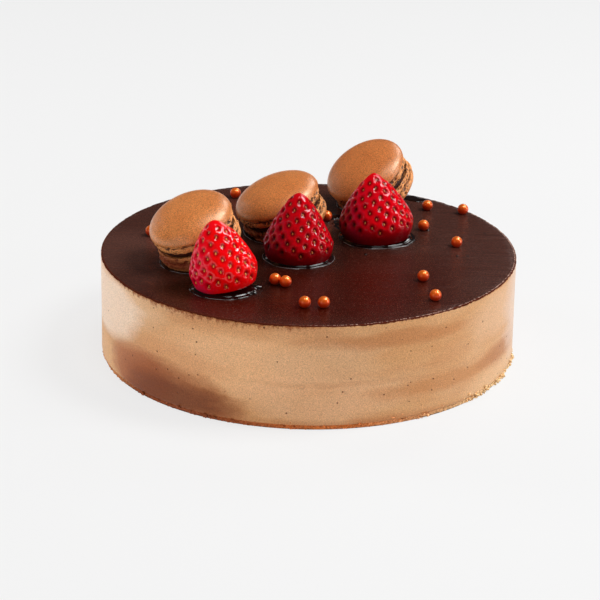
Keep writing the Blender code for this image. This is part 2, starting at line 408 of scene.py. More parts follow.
make_floor()
print("floor", FLOOR_SIZE, "m wide")

# %% The light
ROOM_LIGHT = 0.04
# name, place, size across, size up, power, whether wet surfaces mirror it
SOFT_BOXES = (
    ("key box", (0.62, 0.02, 0.95), 0.44, 0.44, 9.5, True),
    ("right strip", (1.0, -0.08, 0.34), 0.12, 0.56, 2.2, True),
    ("top box", (0.1, -0.2, 1.2), 0.24, 0.24, 2.4, True),
    ("back box", (0.5, 0.85, 0.7), 0.36, 0.36, 2.3, True),
    ("left back box", (-1.0, 0.5, 0.42), 0.35, 0.35, 4.6, False),
    ("rim strip", (-0.8, 0.8, 0.3), 0.1, 0.4, 0.3, True),
    ("left strip", (-0.9, -0.8, 0.35), 0.1, 0.4, 0.6, True),
    ("right front box", (0.95, -1.0, 0.5), 0.9, 0.7, 2.8, False),
    ("left front box", (-0.85, -1.1, 0.45), 0.9, 0.7, 5.5, False),
)


def add_soft_box(name, spot, across, up, power, mirrored):
    data = bpy.data.lights.new(name, "AREA")
    data.shape = "RECTANGLE"
    data.size, data.size_y = across, up
    data.energy = power
    box = bpy.data.objects.new(name, data)
    box.location = spot
    towards = Vector((0, 0, CAKE_TOP)) - Vector(spot)
    box.rotation_euler = towards.to_track_quat("-Z", "Y").to_euler()
    box.visible_glossy = mirrored
    put_in_scene(box)


for soft_box in SOFT_BOXES:
    add_soft_box(*soft_box)

room = bpy.data.worlds.new("dim studio")
room.use_nodes = True
background = room.node_tree.nodes["Background"]
background.inputs["Color"].default_value = WHITE
background.inputs["Strength"].default_value = ROOM_LIGHT
bpy.context.scene.world = room
bpy.context.scene.view_settings.view_transform = "Standard"
print(len(SOFT_BOXES), "soft boxes")

# %% [markdown]
# The mousse: its colour
#
# Milk chocolate mousse is tan, and the knife or acetate leaves long soft streaks round the side.
# A single noise would look like marble, so the noise is stretched along the rim. On top of that come
# a few broad smudges, each placed by its heading round the cake and its height. Some of them are
# painted light and shade: a brown painted shade low on the front left and along the foot at the
# front, and a pale painted sheen on the right edge. Glaze that crept over the rim at the front left
# has left a fuzzy brown stain, which fades downwards. The small air holes are the middles of
# scattered cells, a little sunk, with painted shade in them.

# %% The mousse finish
TAN = srgb(208, 155, 104)
TAN_WARM = srgb(200, 140, 88)
TAN_PALE = srgb(218, 174, 132)
# painted shade: the brown and the darker brown of the shaded low front left
MOUSSE_SHADE_BROWN = srgb(150, 76, 32)
MOUSSE_SHADE_DARK = srgb(100, 42, 14)
STAIN = srgb(146, 74, 34)
# painted shade inside the air holes
HOLE_SHADE = srgb(96, 48, 22)
HOLE_SPACING = 5.2
HOLE_REACH = 0.065
RIM_LEVEL = CAKE_TOP / MM
# heading in degrees from the front, height in mm, half width, half height, softness, share, colour
SMUDGES = (
    (-22, 27, 26, 16, 1.2, 0.6, srgb(228, 166, 110)),
    (-66, 40, 24, 12, 1.0, 0.7, srgb(234, 192, 150)),
    (-18, 27, 20, 13, 1.2, 0.75, srgb(238, 186, 138)),
    (-78, 32, 27, 16, 0.6, 0.9, srgb(244, 214, 188)),
    (-86, 5, 22, 12, 0.6, 0.6, srgb(230, 172, 114)),
    (-80, 44.5, 22, 3.0, 1.2, 0.5, srgb(214, 152, 104)),
    (-38, 22, 16, 7, 1.3, 0.35, srgb(202, 128, 72)),
    # painted shade: the next three darken the low front left, where the cake lies in shade
    (-51, 9, 15, 11, 0.8, 0.8, srgb(172, 94, 46)),
    (-39, 4, 20, 15, 0.9, 0.8, MOUSSE_SHADE_BROWN),
    (-38, 3, 17, 10, 1.0, 0.6, MOUSSE_SHADE_DARK),
    (2, 13, 20, 9, 1.3, 0.55, srgb(228, 178, 136)),
    (-14, 41.5, 22, 4.5, 1.0, 0.2, srgb(184, 116, 70)),
    (22, 37, 24, 3.6, 1.3, 0.7, srgb(186, 122, 72)),
    (4, 28, 15, 8, 1.2, 0.5, srgb(218, 172, 130)),
    (14, 19, 34, 1.2, 1.3, 0.22, srgb(184, 122, 76)),
    (38, 14, 22, 3.6, 1.3, 0.6, srgb(190, 126, 74)),
    (41, 24, 8, 4, 1.3, 0.5, srgb(202, 146, 98)),
    (66, 14, 12, 5.5, 1.3, 0.8, srgb(180, 116, 68)),
    (64, 5, 16, 6, 1.2, 0.6, srgb(228, 184, 140)),
    (64, 34, 16, 9, 1.3, 0.7, srgb(220, 176, 136)),
    # painted light: a pale sheen on the right edge
    (86, 28, 16, 26, 1.2, 0.95, srgb(220, 190, 168)),
    # painted shade: darker along the foot at the front
    (8, 0, 40, 4.0, 1.4, 0.5, srgb(176, 104, 56)),
    (150, 20, 40, 12, 0.9, 0.4, srgb(190, 134, 88)),
    (-130, 32, 30, 10, 0.9, 0.4, TAN_PALE),
)


def mousse_finish():
    finish = Finish("milk chocolate mousse", Roughness=0.45, Specular_IOR_Level=0.25,
                    Subsurface_Weight=0.12, Subsurface_Scale=3 * MM, Subsurface_Radius=(1.0, 0.55, 0.3))
    spot = finish.place()
    x, y, height = finish.parts(spot)
    heading = finish.heading(x, y)
    streaks = finish.noise(finish.stretched(spot, 0.25, 0.25, 1.6), 9.0, 3.0, 0.55)
    broad = finish.noise(finish.stretched(spot, 0.6, 0.6, 1.2), 26.0, 2.0)
    colour = finish.mix(streaks.above(0.55, 0.35), TAN, TAN_WARM)
    colour = finish.mix(broad.above(0.56, 0.3) * 0.6, colour, TAN_PALE)
    warp = (finish.noise(finish.stretched(spot, 0.6, 0.6, 1.6), 14.0, 4.0, 0.6) - 0.5) * 2
    for middle, level, half_width, half_height, softness, share, tint in SMUDGES:
        across = (heading - middle + warp * 7) / half_width
        up = (height - level + warp * 3) / half_height
        mask = (1 - across * across - up * up).above(0.0, softness) * share
        colour = finish.mix(mask, colour, tint)

    fuzz = finish.noise(finish.stretched(spot, 1.0, 1.0, 0.6), 2.0, 5.0, 0.8)
    left_rim = (heading + 58).above(0.0, 14.0) * (1 - (heading + 2).above(0.0, 12.0))
    reach = (fuzz * 4.0 - 1.55) * (left_rim * 5.0 + 1.6)
    stained = (reach - (RIM_LEVEL - height) * 1.9).above(0.0, 3.2)
    colour = finish.mix(stained * 0.85, colour, STAIN)

    grain = finish.noise(spot, 0.44, 1.0, 0.6)
    colour = finish.lit(colour, 0.52 + grain * 0.96)
    holes = finish.cells(spot, HOLE_SPACING)
    # painted shade in the air holes
    colour = finish.mix((1 - holes.above(HOLE_REACH, 0.03)) * 0.85, colour, HOLE_SHADE)
    finish.feed("Base Color", colour)
    fine = finish.bump(grain, 0.07)
    dented = finish.bump(holes.above(HOLE_REACH, 0.05), 0.3, fine)
    finish.feed("Normal", finish.bump(streaks, 0.25, dented))
    return finish


mousse_look = mousse_finish()
print("mousse finish has", len(mousse_look.tree.nodes), "nodes")

# %% [markdown]
# The mousse: its shape
#
# The drum was cast in a ring, so it is nearly straight, a touch wider at the foot and not quite
# round. Those slow waves are real geometry, because they show in the outline.

# %% The mousse drum
RIM_WAVE = 0.25 * MM
RIM_DIP = 0.4 * MM
RIM_DIP_HEADING = radians(62)
RIM_DIP_WIDTH = radians(16)


def rim_lift(angles):
    """How the rim rises and dips round the cake, as the solid's rim does."""
    dip = hump(angles, RIM_DIP_HEADING, RIM_DIP_WIDTH)
    return RIM_WAVE * (round_noise(angles, 3.5, 6.0) - 0.5) - RIM_DIP * dip


SIDE_COLUMNS = 480
SIDE_ROWS = 56
SIDE_WAVE = 0.18 * MM
SIDE_FLARE = 0.35 * MM
UNDER_THE_GLAZE = 0.05 * MM
DRUM_LOW = BISCUIT_TOP - 0.3 * MM
DRUM_HIGH = CAKE_TOP - 0.45 * MM


def make_mousse():
    climb = np.linspace(0, 1, SIDE_ROWS)
    heights = DRUM_LOW + (DRUM_HIGH - DRUM_LOW) * climb
    radii = CAKE_RADIUS - UNDER_THE_GLAZE + SIDE_FLARE * (1 - climb) ** 1.5
    inner = CAKE_RADIUS * 0.9
    rings = turn([(inner, DRUM_LOW), *zip(radii, heights), (inner, DRUM_HIGH)], SIDE_COLUMNS)
    push = 1 + SIDE_WAVE * ripples(rings, 45 * MM, 3.0, 2) / CAKE_RADIUS
    rings[1:-1, :, :2] *= push[1:-1, :, None]
    top_share = (rings[:, :, 2] - DRUM_LOW) / (DRUM_HIGH - DRUM_LOW)
    rings[:, :, 2] += rim_lift(ring_angles(SIDE_COLUMNS)) * top_share ** 6
    add_piece(ring_mesh("mousse_drum", rings), mousse_look, "mousse", "mousse")


make_mousse()

# %% [markdown]
# The glaze
#
# The glaze is a thin dark sheet that was poured level, so its face is almost flat and its rim is a
# narrow soft roll. A flat disc would reflect like glass. Two things break that: slow ripples in the
# mesh, and much finer ones in the material, drawn out sideways as the spatula left them. The rim has
# dried, so it doesn't shine: a plain diffuse shader takes over there, through a Mix Shader, except
# along a thin broken line of painted pale glints on the right. The colour holds painted light too: a
# greyer brown for the sheen at the sides and back, painted shadow round the berries, and fine
# painted sparkle.

# %% The glaze finish
# the glaze's own brown with painted sheen: the grey it shows at the sides and back
GLAZE_BROWN_AND_SHEEN = srgb(66, 36, 29)
GLAZE_RED = srgb(54, 8, 1)
# painted shadow and dark reflection round the berries
GLAZE_SHADOW = srgb(26, 9, 6)
# painted sparkle: fine pale glints on the glaze
GLAZE_SPARKLE = srgb(138, 88, 70)
# painted glints along the top edge of the rim on the right
RIM_GLINT = srgb(212, 176, 160)
DRY_RIM = srgb(78, 32, 20)
# distances from the middle in mm: where the painted glints start and end, and where the rim is dry
GLINT_INNER = 88.95
GLINT_OUTER = 89.5
DRY_FROM = 89.3
# middle x and y in mm, half widths, share and colour
GLAZE_PATCHES = (
    (0, -55, 60, 34, 0.95, GLAZE_RED),
    (22, -22, 44, 26, 0.6, GLAZE_RED),
    # painted shadow and dark reflection round the three berries
    (-34, -44, 26, 20, 0.8, GLAZE_SHADOW),
    (-4, -10, 26, 22, 0.7, GLAZE_SHADOW),
    (30, 14, 24, 18, 0.6, GLAZE_SHADOW),
    # painted sheen: the greyer left
    (-80, -6, 20, 26, 0.8, srgb(84, 52, 44)),
)


def glaze_finish():
    finish = Finish("dark chocolate glaze", Specular_IOR_Level=0.2, Specular_Tint=srgb(255, 184, 156))
    spot = finish.place()
    x, y = finish.parts(spot)[:2]
    cloud = finish.noise(spot, 30.0, 3.0, 0.55)
    colour = GLAZE_BROWN_AND_SHEEN
    for middle_x, middle_y, half_x, half_y, share, tint in GLAZE_PATCHES:
        across = (x - middle_x) / half_x
        along = (y - middle_y) / half_y
        near = (1.4 - (across * across + along * along) + (cloud - 0.5) * 1.2).above(0.5, 1.1)
        colour = finish.mix(near * share, colour, tint)
    grain = finish.noise(spot, 0.9, 2.0, 0.7)
    colour = finish.lit(colour, 0.1 + grain * 1.8)
    # painted sparkle: fine pale dots
    sparkle = finish.noise(spot, 0.6, 1.0, 0.6).above(0.64, 0.08)
    colour = finish.mix(sparkle * 0.32, colour, GLAZE_SPARKLE)
    out_squared = x * x + y * y
    out = out_squared.math("SQRT", out_squared)
    rim = out.above(DRY_FROM, 0.4)
    # painted glints: a broken pale line on the rim's top at the right
    glints = finish.noise(spot, 1.0, 2.0, 0.7).above(0.53, 0.08) * x.above(2, 36)
    glint_line = (out.above(GLINT_INNER, 0.2) - out.above(GLINT_OUTER, 0.2)).clamped() * glints
    finish.feed("Base Color", finish.mix(glint_line * 0.85, colour, RIM_GLINT))
    brushed = finish.noise(finish.stretched(spot, 0.2, 1.0, 1.0), 4.5, 4.0, 0.6)
    brushed = brushed * (1 + x.math("ABSOLUTE", x).above(50, 40) * 0.9)
    finish.feed("Roughness", 0.24 + (cloud - 0.5) * 0.1 - rim * 0.1)
    rough = finish.bump(grain, 0.18)
    finish.feed("Normal", finish.bump(brushed, 0.34, rough))
    dull = finish.make("ShaderNodeBsdfDiffuse", None, {"Color": DRY_RIM})
    both = {0: rim * (1 - glint_line), 1: Value(finish.tree, finish.shader.outputs[0]), 2: dull}
    surface = finish.make("ShaderNodeMixShader", None, both)
    plug(finish.tree, finish.tree.nodes["Material Output"].inputs["Surface"], surface)
    return finish


glaze_look = glaze_finish()
print("glaze finish has", len(glaze_look.tree.nodes), "nodes")

# %% The glaze sheet
GLAZE_COLUMNS = 1440
ROLL_ROWS = 6
RIM_ROLL = 0.5 * MM
CHIPPED = 0.5 * MM
EDGE_LUMPS = 0.06 * MM
FACE_RIPPLES = 0.03 * MM


def make_glaze():
    under = CAKE_TOP - RIM_ROLL - 0.1 * MM
    profile = [(CAKE_RADIUS * 0.94, under), (CAKE_RADIUS, under)]
    for turned in np.linspace(0, pi / 2, ROLL_ROWS):
        out = CAKE_RADIUS - RIM_ROLL * (1 - cos(turned))
        profile.append((out, CAKE_TOP - RIM_ROLL * (1 - sin(turned))))
    profile += [(CAKE_RADIUS * r, CAKE_TOP) for r in (0.991, 0.985, 0.975, 0.965)]
    profile += [(CAKE_RADIUS * r, CAKE_TOP) for r in np.linspace(0.945, 0.02, 20)]
    rings = turn(profile, GLAZE_COLUMNS)
    reach = np.array([r for r, _ in profile])
    near_rim = dome_step(reach, 0.965 * CAKE_RADIUS, 0.99 * CAKE_RADIUS)
    rings[:, :, 2] += near_rim[:, None] * rim_lift(ring_angles(GLAZE_COLUMNS))[None, :]
    rings[:, :, 2] += FACE_RIPPLES * ripples(rings * (0.4, 1, 1), 12 * MM, 5.0)
    roll = slice(1, ROLL_ROWS + 2)
    edge = slice(1, ROLL_ROWS + 3)
    chips = np.abs(ripples(rings[roll], 3.5 * MM, 8.0, 3)) * CHIPPED
    rings[roll, :, :2] *= 1 - chips[:, :, None] / CAKE_RADIUS
    rings[edge, :, 2] += EDGE_LUMPS * ripples(rings[edge], 2.5 * MM, 4.0)
    add_piece(ring_mesh("glaze_sheet", rings), glaze_look, "glaze", "glaze")


make_glaze()

# %% [markdown]
# Pools round the berries
#
# Each berry was set down in a spoonful of clear dark gel, which crept out and stopped in a thick
# round lip. The lip has to follow the berry, so its outline is measured: rays are cast from far
# outside towards the berry's middle, just above the glaze, and the pool ends about a millimetre out.

# %% Measuring an outline on the glaze
OUTLINE_COLUMNS = 240
OUTLINE_FAR = 40 * MM


def outline_of(middle, levels, *nodes):
    """How far the nodes reach from a point, in every direction, at the widest of some heights."""
    reach = np.zeros(OUTLINE_COLUMNS)
    for place, angle in enumerate(ring_angles(OUTLINE_COLUMNS)):
        out = Vector((cos(angle), sin(angle), 0))
        for level in levels:
            start = Vector((middle[0], middle[1], CAKE_TOP + level)) + out * OUTLINE_FAR
            for node in nodes:
                hit, spot, _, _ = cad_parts[node].ray_cast(start, -out)
                if hit:
                    reach[place] = max(reach[place], OUTLINE_FAR - (start - spot).length)
    return reach


def smoothed(values, width):
    """A ring of values, each one averaged with its neighbours."""
    span = np.arange(-width, width + 1)
    return np.mean([np.roll(values, shift) for shift in span], axis=0)


# %% The gel
GEL_LIP = 0.4 * MM
GEL_CLIMB = 0.5 * MM
GEL_BLACK = srgb(10, 4, 4)
GEL_BROWN = srgb(24, 8, 6)
# painted highlight: the pale line where a pool's edge catches the light
GEL_HIGHLIGHT = srgb(132, 126, 126)


def gel_finish():
    finish = Finish("clear dark gel", Roughness=0.08, Specular_IOR_Level=0.5)
    spot = finish.place()
    depth = finish.noise(spot, 6.0, 2.0)
    colour = finish.mix(depth, GEL_BLACK, GEL_BROWN)
    # the beads are painted pale as a highlight
    finish.feed("Base Color", finish.mix(finish.stored("pale"), colour, GEL_HIGHLIGHT))
    finish.feed("Normal", finish.bump(finish.noise(spot, 4.0, 1.0), 0.1))
    return finish


gel_look = gel_finish()


def rings_round(middle, rows, turned=0.0):
    """Rings round a middle, from rows of how far out and how high the points of each ring lie."""
    angles = ring_angles(len(rows[0][0])) + turned
    rings = [np.stack([out * np.cos(angles), out * np.sin(angles), angles * 0 + level], 1)
             for out, level in rows]
    return np.array(rings) + (middle[0], middle[1], 0)


def pool_rings(middle, inner, outer, lip, climb):
    """A low puddle between an inner outline, which it climbs, and an outer one, where it ends."""
    crest = outer - 1.2 * lip
    under = inner - 0.5 * MM
    rows = [(outer, CAKE_TOP - 0.3 * MM)]
    for turned in np.linspace(0, pi / 2, 7):
        rows.append((outer - 1.2 * lip * (1 - cos(turned)), CAKE_TOP + lip * sin(turned)))
    for share in (0.25, 0.5, 0.7, 0.82, 0.92, 1.0):
        rows.append((crest * (1 - share) + under * share, CAKE_TOP + lip + climb * share ** 6))
    rows.append((under * 0.5, CAKE_TOP + lip + climb))
    return rings_round(middle, rows)


# %% [markdown]
# Where a pool ends, its edge catches the light in a fine broken line. A bump can't draw a line that
# thin, so it is a bead of its own: a tube a quarter of a millimetre thick along the pool's outline,
# painted paler than the gel as a highlight, which dips under the glaze here and there. The leaning
# macarons press into the glaze too, and get the same narrow pool and bead where their lower edge
# goes under.

# %% Beads round the pools
BEAD = 0.13 * MM
BEAD_BURIED = 1.0 * MM
# a spoonful that escaped beside the first berry: x, y, radius, height in mm
DOLLOP = (-26.2, -51.4, 7.0, 1.9)


def bead_rings(middle, outline):
    """A thin tube along an outline, which dips under the glaze here and there."""
    uneven = 2.6 * round_noise(ring_angles(OUTLINE_COLUMNS), 2.0, 40 * middle[0]) - 0.35
    rows = []
    for turned in np.linspace(0, pi, 7):
        rows.append((outline + BEAD * cos(turned), CAKE_TOP + BEAD * (uneven + sin(turned))))
    rings = rings_round(middle, rows)
    x, y, radius, _ = DOLLOP
    near_dollop = np.hypot(rings[:, :, 0] - x * MM, rings[:, :, 1] - y * MM) < (radius + 1.5) * MM
    rings[near_dollop, 2] -= BEAD_BURIED
    return rings


# %% The strawberries' places
# x, y, lean, radius, height, bulge, bluntness
BERRIES = (
    (-33.7, -50.0, -11, 14.1, 28.5, 1.23, 0.65),
    (-4.6, -12.3, 0, 15.0, 30.1, 1.0, 0.66),
    (29.9, 14.8, -4, 16.3, 30.0, 1.29, 0.82),
)
BERRY_SINK = 0.3 * MM
BERRY_WIDEST = 0.25
BERRY_BELLY = 0.53
BERRY_DEPTH = 0.9
BERRY_TIP = 0.975


def berry_reach(share, bulge, bluntness):
    """The berry's radius at a share of its height, as a share of its widest radius."""
    if share < BERRY_WIDEST:
        return sqrt(1 - ((BERRY_WIDEST - share) / BERRY_BELLY) ** 2)
    climb = min((share - BERRY_WIDEST) / (1 - BERRY_WIDEST), 1)
    return (1 - climb ** bulge) ** bluntness


# %% Making pools and beads
BERRY_LEVELS = (1 * MM, 3 * MM, 5 * MM, 7 * MM)
SMEAR_HEIGHT = 0.7 * MM
DROP_HEIGHT = 0.4 * MM
# how far the gel seeped out from under a macaron
SEEPED = 0.7 * MM
# wet smears: x, y, half length, half width in mm, and how far they are turned
SMEARS = (
    (11.0, 41.5, 5.0, 3.6, 20),
    (13.2, 30.5, 6.5, 2.6, 100),
    (48.5, 68.6, 7.0, 3.4, -34),
    (28.0, 46.0, 7.0, 3.0, 10),
)
# single drops: x, y, radius in mm
DROPS = (
    (24.5, -7.0, 0.8),
    (53.0, 25.5, 0.8),
    (64.0, -7.0, 0.6),
    (68.5, -7.5, 0.6),
    (78.0, 22.0, 0.5),
    (8.5, 33.0, 0.7),
)


def puddle_rings(middle, long, wide, turned, height, ripple, columns, seed):
    """A free puddle with a wandering outline and a domed, rippled face."""
    angles = ring_angles(columns)
    wander = 1 + 0.35 * round_noise(angles, 1.5, seed)
    reach = wander / np.hypot(np.cos(angles) / long, np.sin(angles) / wide)
    rows = []
    for climb in np.linspace(0, pi / 2, 13):
        level = CAKE_TOP - 0.1 * MM + (height + 0.1 * MM) * sin(climb) ** 0.8
        rows.append((reach * max(cos(climb), 0.02), level))
    rings = rings_round(middle, rows, turned)
    rings[3:, :, 2] += ripple * height * ripples(rings[3:], 3.5 * MM, seed)
    return rings


def make_gel():
    angles = ring_angles(OUTLINE_COLUMNS)
    pools, beads = [], []
    for number, (x, y, *_) in enumerate(BERRIES, 1):
        middle = (x * MM, y * MM)
        outline = smoothed(outline_of(middle, BERRY_LEVELS, f"strawberry_{number}"), 6)
        crept = 0.9 + 0.7 * round_noise(angles, 1.6, 3.0 * number) + 0.4 * np.cos(angles)
        outer = outline + MM * crept
        pools.append(pool_rings(middle, outline, outer, GEL_LIP, GEL_CLIMB))
        beads.append(bead_rings(middle, outer))
    x, y, radius, height = (MM * value for value in DOLLOP)
    pools.append(puddle_rings((x, y), radius, radius, 0.0, height, 0.0, 160, 2.0))
    for place, (x, y, long, wide, turned) in enumerate(SMEARS):
        shape = (long * MM, wide * MM, radians(turned), SMEAR_HEIGHT)
        pools.append(puddle_rings((x * MM, y * MM), *shape, 0.5, 96, place))
    for x, y, radius in DROPS:
        shape = (radius * MM, radius * MM, 0.0, DROP_HEIGHT)
        pools.append(puddle_rings((x * MM, y * MM), *shape, 0.0, 24, x))
    for number in (1, 2, 3):
        nodes = [f"macaron_{number}_{part}" for part in ("top_shell", "filling", "bottom_shell")]
        low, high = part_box(nodes[2])
        middle = ((low.x + high.x) / 2 - 6 * MM, (low.y + high.y) / 2 - 3 * MM)
        outline = smoothed(outline_of(middle, (0.3 * MM, 1.5 * MM), *nodes), 3)
        print("macaron", number, "meets the glaze from", round(outline.min() / MM, 1), "to",
              round(outline.max() / MM, 1), "mm")
        inner = np.maximum(outline, 2 * MM)
        outer = inner + SEEPED
        pools.append(pool_rings(middle, inner, outer, 0.3 * MM, 0.2 * MM))
        beads.append(bead_rings(middle, outer))
    pale = [0.0] * len(pools) + [1.0] * len(beads)
    add_piece(joined_mesh("gel_pools", pools + beads, pale=pale), gel_look, "glaze", "glaze")


make_gel()

# %% [markdown]
# Strawberries
#
# A strawberry is a blunt cone whose seeds sit in pits, and between the pits the flesh bulges into a
# net of ridges. The seeds follow the golden angle, as scales on a cone do. The pits are pressed into
# a fine mesh, because their shadows and the wet glints on the ridges are what makes it a strawberry.
# Very fine ripples of the mesh break the glints up. A bump wouldn't do that, because the shader's
# coat, which is the wet skin here, stays smooth under it. The colour adds painted shade in the pits
# and low down, a painted reflection of cool light on the left, and a painted sheen on the ridges.

# %% The strawberry finish
def berry_finish(name, wet, flesh, flank, shade, ridge_sheen):
    """flesh is the ripe side, flank a painted reflection of cool light on the left side,
    shade the painted shade in the pits and low down, ridge_sheen a painted sheen between the pits.
    """
    finish = Finish(name, Roughness=0.4, Specular_IOR_Level=0.0, Coat_Weight=wet, Coat_Roughness=0.04,
                    Subsurface_Weight=0.2, Subsurface_Scale=3 * MM, Subsurface_Radius=(1.0, 0.25, 0.15))
    spot = finish.place()
    blotch = finish.noise(spot, 7.0, 3.0)
    # painted reflection: cool light from the left tints that side
    cool_light = (finish.stored("flank") + (blotch - 0.5) * 0.6).clamped()
    colour = finish.mix(cool_light * 0.8, flesh, flank)
    pit = finish.stored("pit")
    # painted sheen: pale ridges between the pits on the cool side
    net = (1 - pit.above(0.06, 0.1)) * cool_light
    colour = finish.mix(net * 0.35, colour, ridge_sheen)
    # painted shade in the pits, and low down near the glaze
    colour = finish.mix(pit.above(0.45, 0.7) * 0.85, colour, shade)
    colour = finish.mix(finish.stored("low") * 0.8, colour, shade)
    # painted shade: darkest at the bottom of the deep pits
    colour = finish.mix(pit.above(0.84, 0.14) * 0.6, colour, srgb(60, 8, 4))
    finish.feed("Base Color", colour)
    finish.feed("Normal", finish.bump(finish.noise(spot, 0.8, 2.0), 0.05))
    return finish


berry_looks = (
    berry_finish("bright strawberry", 1.0, srgb(244, 3, 6), srgb(220, 3, 52), srgb(140, 1, 8),
                 srgb(240, 50, 96)),
    berry_finish("ripe strawberry", 0.7, srgb(192, 2, 15), srgb(138, 0, 32), srgb(48, 0, 4),
                 srgb(212, 50, 92)),
    berry_finish("round strawberry", 0.55, srgb(208, 2, 16), srgb(164, 1, 40), srgb(54, 0, 5),
                 srgb(218, 60, 100)),
)
seed_look = Finish("strawberry seed", Roughness=0.35)
seed_tone = seed_look.noise(seed_look.place(), 5.0, 1.0)
seed_colour = seed_look.mix(seed_look.stored("ripe"), srgb(250, 156, 72), srgb(180, 80, 36))
seed_look.feed("Base Color", seed_look.mix(seed_tone * 0.3, seed_colour, srgb(190, 96, 26)))
print("strawberry finishes are ready")

# %% Where the seeds sit
SEED_SPACING = 4.5 * MM
GOLDEN_ANGLE = pi * (3 - sqrt(5))
SEED_LOWEST = (0.08, 0.17, 0.2)
SEED_HIGHEST = 0.94


def seed_places(lowest, radius, height, bulge, bluntness):
    """Angles and shares of height that spread the seeds evenly over the flesh."""
    shares = np.linspace(lowest, SEED_HIGHEST, 400)
    radii = np.array([radius * berry_reach(s, bulge, bluntness) for s in shares])
    slant = np.hypot(np.diff(radii), np.diff(shares * height))
    band = np.concatenate([[0], np.cumsum(slant * (radii[1:] + radii[:-1]) * pi)])
    count = int(band[-1] / (SEED_SPACING ** 2 * sqrt(3) / 2))
    wanted = (np.arange(count) + 0.5) / count * band[-1]
    return np.arange(count) * GOLDEN_ANGLE, np.interp(wanted, band, shares)


# %% The berry's flesh
BERRY_COLUMNS = 230
BERRY_ROWS = 130
PIT_DEPTH = 1.0 * MM
PIT_ACROSS = 1.1 * MM
PIT_ALONG = 1.4 * MM
SWELL = 0.22 * MM
FINE_RIPPLE = 0.05 * MM
SKIN = 0.12 * MM
# how much painted shade darkens each berry near the glaze, and how ripe its seeds are
LOW_SHADE = (0.0, 0.9, 1.0)
SEED_RIPENESS = (0.0, 0.75, 0.55)


def berry_point(angle, share, radius, height, bulge, bluntness):
    reach = radius * berry_reach(share, bulge, bluntness)
    level = height * (share - (1 - BERRY_TIP) * share ** 8)
    return Vector((reach * cos(angle), reach * sin(angle) * BERRY_DEPTH, level))


def berry_placement(x, y, lean, radius, bulge, bluntness):
    """The solid's place: it leans about its base, and its lowest edge stays on the glaze."""
    lift = radius * berry_reach(0, bulge, bluntness) * abs(sin(lean))
    spot = Vector((x, y, CAKE_TOP - BERRY_SINK + lift))
    return Matrix.Translation(spot) @ Matrix.Rotation(lean, 4, "Y")


def make_berry(number, x, y, lean, radius, height, bulge, bluntness):
    form = (radius * MM, height * MM, bulge, bluntness)
    angles, shares = seed_places(SEED_LOWEST[number - 1], *form)
    seeds = [berry_point(a, s, *form) for a, s in zip(angles, shares)]
    tree = kdtree.KDTree(len(seeds))
    for place, seed in enumerate(seeds):
        tree.insert(seed, place)
    tree.balance()
    rows = 0.999 * np.linspace(0, 1, BERRY_ROWS) ** 0.93
    columns = ring_angles(BERRY_COLUMNS)
    rings = np.array([[berry_point(a, s, *form) for a in columns] for s in rows])
    pits = np.zeros(rings.shape[:2])
    for row in range(BERRY_ROWS):
        for column in range(BERRY_COLUMNS):
            point = Vector(rings[row, column])
            seed, _, _ = tree.find(point)
            gap = point - seed
            along = gap.z
            across = sqrt(max(gap.length_squared - along * along, 0))
            pits[row, column] = exp(-((across / PIT_ACROSS) ** 2 + (along / PIT_ALONG) ** 2))
    away = rings * (1, 1 / BERRY_DEPTH, 0)
    away = away / np.maximum(np.linalg.norm(away, axis=2, keepdims=True), 1e-9)
    fade = dome_step(rows, 0.0, 0.1) * (1 - 0.5 * dome_step(rows, 0.8, 1.0))
    swell = SWELL * ripples(rings, 9 * MM, 11.0 * number)
    swell += FINE_RIPPLE * ripples(rings, 1.7 * MM, 13.0 * number)
    rings += away * (SKIN + swell - PIT_DEPTH * pits * fade[:, None])[:, :, None]
    flank = dome_step(-rings[:, :, 0] / (radius * MM), 0.1, 0.9)
    low = LOW_SHADE[number - 1] * (1 - dome_step(rows, 0.05, 0.4))
    mesh = ring_mesh(f"berry_{number}", rings, pit=pits, flank=flank, low=low[:, None])
    placement = berry_placement(x * MM, y * MM, lean, radius * MM, bulge, bluntness)
    mesh.transform(placement)
    add_piece(mesh, berry_looks[number - 1], "strawberry", f"strawberry_{number}")
    return placement, seeds


# %% The seeds
SEED_LENGTH = 0.62 * MM
SEED_WIDTH = 0.37 * MM
SEED_THICKNESS = 0.35 * MM
BARE_FLANK = -0.38


def seed_rings(seed, placement):
    """A flat drop that points up the berry and lies at the bottom of its pit."""
    out = Vector((seed.x, seed.y / BERRY_DEPTH, 0)).normalized()
    up = Vector((-out.x * 0.35, -out.y * 0.35, 1)).normalized()
    side = up.cross(out)
    out = side.cross(up)
    middle = seed - out * (PIT_DEPTH - 0.5 * SEED_THICKNESS)
    rings = []
    for climb in np.linspace(0, pi, 8)[1:-1]:
        width = SEED_WIDTH * sin(climb) * (1 + 0.25 * cos(climb))
        level = -SEED_LENGTH * cos(climb)
        ring = []
        for angle in ring_angles(10):
            offset = side * width * cos(angle) - out * width * SEED_THICKNESS / SEED_WIDTH * sin(angle)
            ring.append(placement @ (middle + up * level + offset))
        rings.append(ring)
    return np.array(rings)


def make_berries():
    families, ripe = [], []
    for number, berry in enumerate(BERRIES, 1):
        x, y, lean, radius, height, bulge, bluntness = berry
        placement, seeds = make_berry(number, x, y, radians(lean), radius, height, bulge, bluntness)
        for seed in seeds:
            if number > 1 and seed.x < BARE_FLANK * radius * MM:
                continue
            families.append(seed_rings(seed, placement))
            ripe.append(SEED_RIPENESS[number - 1])
        print(f"berry_{number} has {len(seeds)} seeds")
    add_piece(joined_mesh("berry_seeds", families, ripe=ripe), seed_look, "strawberry")


make_berries()

